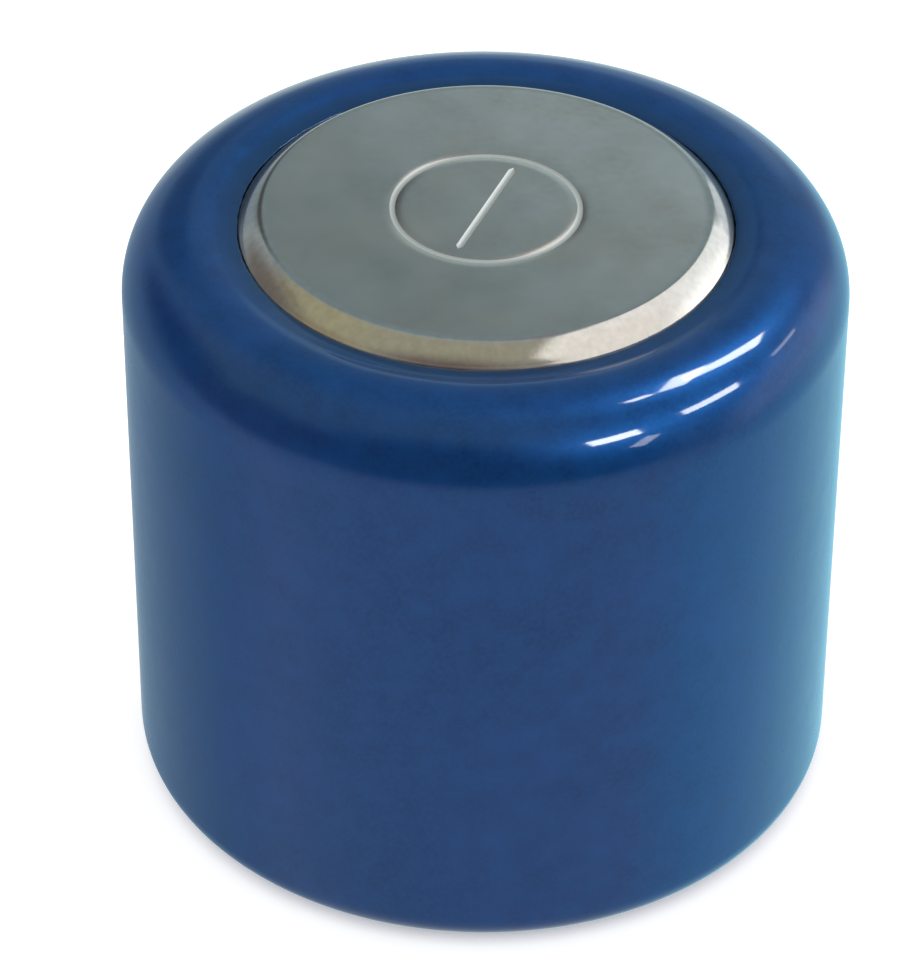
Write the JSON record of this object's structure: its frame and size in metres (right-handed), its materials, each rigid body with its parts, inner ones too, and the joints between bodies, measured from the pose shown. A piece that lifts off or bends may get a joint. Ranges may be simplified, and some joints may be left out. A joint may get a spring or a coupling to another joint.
{
  "type": "cylindrical battery cell",
  "caption": "Short round sleeved battery cell with a crimped shoulder, a raised flat negative cap and a flat positive base, holding a spiral-wound roll.",
  "frame": {"origin": "centre of the base, at the level that the standing cell rests on", "axes": "+Z along the cell's axis from the positive base to the negative cap; +X and +Y across it, with the bar of the stamped negative sign 69 degrees from +X"},
  "size_m": [0.0118, 0.0118, 0.0106],
  "materials": {
    "sleeve_film": "gloss",
    "can_steel": "satin",
    "cap_steel": "satin",
    "gasket_polymer": "satin",
    "inner_steel": "satin",
    "insulator_polymer": "satin",
    "separator_film": "matte",
    "cathode_mix": "matte",
    "lithium_foil": "satin",
    "tab_metal": "satin",
    "adhesive_tape": "gloss"
  },
  "bodies": {
    "root": {"shrink_sleeve": "sleeve_film", "positive_can": "can_steel", "negative_cap": "cap_steel", "sealing_gasket": "gasket_polymer", "seal_support_ring": "inner_steel", "upper_insulator": "insulator_polymer", "lower_insulator": "insulator_polymer", "inner_separator": "separator_film", "cathode_inner_layer": "cathode_mix", "cathode_grid": "inner_steel", "cathode_outer_layer": "cathode_mix", "outer_separator": "separator_film", "lithium_anode": "lithium_foil", "anode_tab": "tab_metal", "cathode_tab": "tab_metal", "cathode_tab_tape": "adhesive_tape", "roll_tape": "adhesive_tape"}
  },
  "joints": []
}
